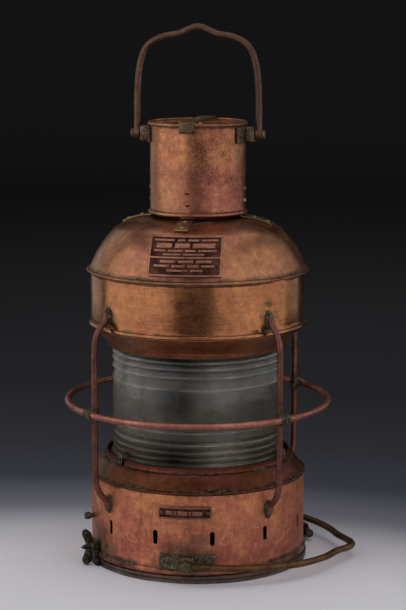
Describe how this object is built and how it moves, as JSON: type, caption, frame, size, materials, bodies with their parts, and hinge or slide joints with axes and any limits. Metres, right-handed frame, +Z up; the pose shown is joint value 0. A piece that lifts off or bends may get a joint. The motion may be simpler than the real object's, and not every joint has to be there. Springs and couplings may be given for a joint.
{
  "type": "ship lantern",
  "caption": "Round copper ship's anchor lantern with a drum lens, wire guard, oil burner on a hinged tray, and swinging top and side bails.",
  "frame": {"origin": "centre of the tray's flat underside, where the lantern stands", "axes": "+Z up along the lantern's axis, -Y to the front with the plates, X along the top bail's pivots"},
  "size_m": [0.3793, 0.3466, 0.6902],
  "materials": {
    "aged_copper": "aged, satin, pitted",
    "base_copper": "mottled, satin",
    "hood_copper": "lacquered, worn satin",
    "red_copper": "dull red-brown",
    "rod_copper": "worn satin",
    "dark_bronze": "dark, dull",
    "old_brass": "old, satin",
    "green_brass": "verdigris, rough",
    "lens_glass": "clear, slightly dusty",
    "gasket_packing": "dark woven packing",
    "wick_cotton": "woven cotton"
  },
  "bodies": {
    "base_tray": {"base_tray": "dark_bronze", "tray_floor": "dark_bronze", "tray_tongue": "green_brass", "tray_hinge_leaf": "dark_bronze", "hinge_pin": "old_brass", "oil_font": "old_brass", "font_seat": "old_brass", "burner_body": "old_brass", "wick_tube": "old_brass"},
    "lantern_body": {"base_drum": "base_copper", "base_shoulder": "red_copper", "lower_gasket": "gasket_packing", "fresnel_lens": "lens_glass", "upper_gasket": "gasket_packing", "gallery_cone": "red_copper", "hood_drum": "hood_copper", "hood_dome": "hood_copper", "flue_pipe": "aged_copper", "chimney_shell": "aged_copper", "chimney_leg_front": "old_brass", "chimney_leg_right": "old_brass", "chimney_leg_back": "old_brass", "chimney_leg_left": "old_brass", "chimney_lid": "aged_copper", "lid_strap": "old_brass", "top_lug_left": "green_brass", "top_lug_right": "green_brass", "top_pin_left": "old_brass", "top_pin_right": "old_brass", "guard_rod_front_left": "rod_copper", "guard_rod_front_right": "rod_copper", "guard_rod_back_right": "rod_copper", "guard_rod_back_left": "rod_copper", "guard_ring": "rod_copper", "ring_binding_front_left": "green_brass", "ring_binding_front_right": "green_brass", "ring_binding_back_right": "green_brass", "ring_binding_back_left": "green_brass", "lens_clamp_left": "green_brass", "lens_clamp_right": "green_brass", "lens_clamp_back": "green_brass", "lower_lug_front": "green_brass", "lower_lug_back": "green_brass", "lower_pin_front": "old_brass", "lower_pin_back": "old_brass", "dome_plate": "old_brass", "base_plate": "old_brass", "base_plate_screw_left": "old_brass", "base_plate_screw_right": "old_brass", "latch_stud": "green_brass", "keeper_stud": "green_brass", "hinge_bracket": "old_brass"},
    "top_bail": {"top_bail": "aged_copper"},
    "lower_bail": {"lower_bail": "old_brass"},
    "wing_nut": {"wing_nut": "green_brass"},
    "filler_cap": {"filler_cap": "old_brass"},
    "wick": {"wick": "wick_cotton"},
    "wick_knob": {"wick_knob": "old_brass"}
  },
  "joints": [
    {"name": "body_tilt", "type": "hinge", "parent": "base_tray", "child": "lantern_body", "pos_m": [0.12661, 0.09199, 0.01], "axis": [-0.5878, 0.809, 0], "range_deg": [0, 80]},
    {"name": "top_bail_swing", "type": "hinge", "parent": "lantern_body", "child": "top_bail", "pos_m": [0, 0, 0.551], "axis": [1, 0, 0], "range_deg": [-135, 135]},
    {"name": "lower_bail_swing", "type": "hinge", "parent": "lantern_body", "child": "lower_bail", "pos_m": [0, 0, 0.0268], "axis": [-0.1219, 0.9925, 0], "range_deg": [-22, 206]},
    {"name": "wing_nut_turn", "type": "hinge", "parent": "lantern_body", "child": "wing_nut", "pos_m": [-0.1199, -0.08711, 0.024], "axis": [-0.809, -0.5878, 0], "continuous": true},
    {"name": "filler_cap_turn", "type": "hinge", "parent": "base_tray", "child": "filler_cap", "pos_m": [0.03447, -0.02892, 0.08135], "axis": [0, 0, 1], "continuous": true},
    {"name": "wick_knob_turn", "type": "hinge", "parent": "base_tray", "child": "wick_knob", "pos_m": [0.0068, 0, 0.1026], "axis": [0, 1, 0], "range_deg": [-40, 130]},
    {"name": "wick_slide", "type": "slide", "parent": "base_tray", "child": "wick", "axis": [0, 0, 1], "range_m": [-0.004, 0.0125]}
  ],
  "couplings": [
    {"joint": "wick_slide", "follows": "wick_knob_turn", "m_per_rad": 0.0053}
  ]
}
